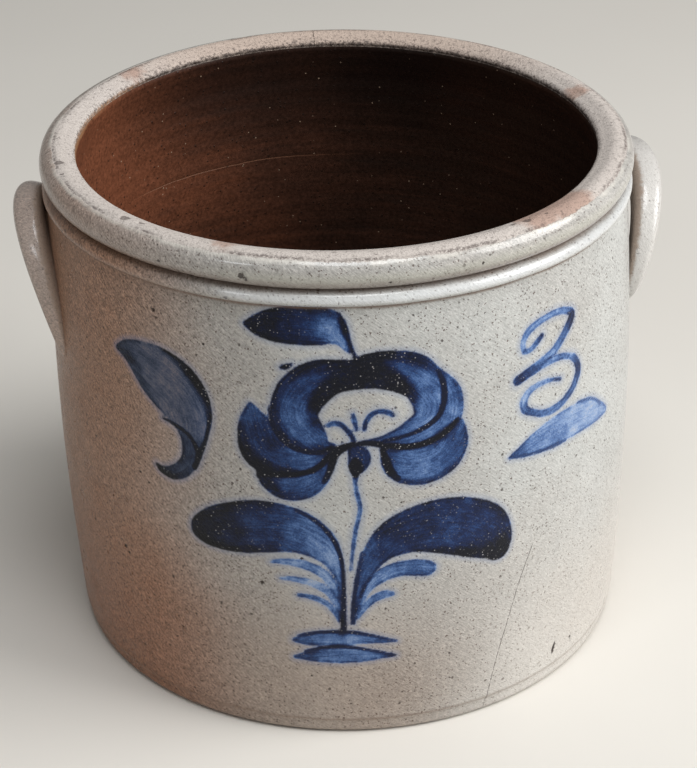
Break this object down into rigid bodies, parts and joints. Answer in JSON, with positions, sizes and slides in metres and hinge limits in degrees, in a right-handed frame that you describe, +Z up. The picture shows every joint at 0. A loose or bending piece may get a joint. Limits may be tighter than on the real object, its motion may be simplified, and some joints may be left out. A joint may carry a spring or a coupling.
{
  "type": "stoneware crock",
  "caption": "Open cylindrical stoneware crock with a slightly bulging wall, a rolled rim over a bead, a brown slip lining and an arched lug handle pressed on at each side.",
  "frame": {"origin": "centre of the flat base, on the surface the crock stands on", "axes": "+Z up through the mouth, +X through the crown of the right handle, -Y towards the painted front"},
  "size_m": [0.3114, 0.2824, 0.25],
  "materials": {
    "salt_glazed_stoneware": "grey-beige salt glaze, orange peel, iron specks, brushed cobalt decoration",
    "brown_slip": "dark brown slip glaze, satin"
  },
  "bodies": {
    "root": {"crock_body": "salt_glazed_stoneware", "slip_lining": "brown_slip", "handle_left": "salt_glazed_stoneware", "handle_right": "salt_glazed_stoneware"}
  },
  "joints": []
}
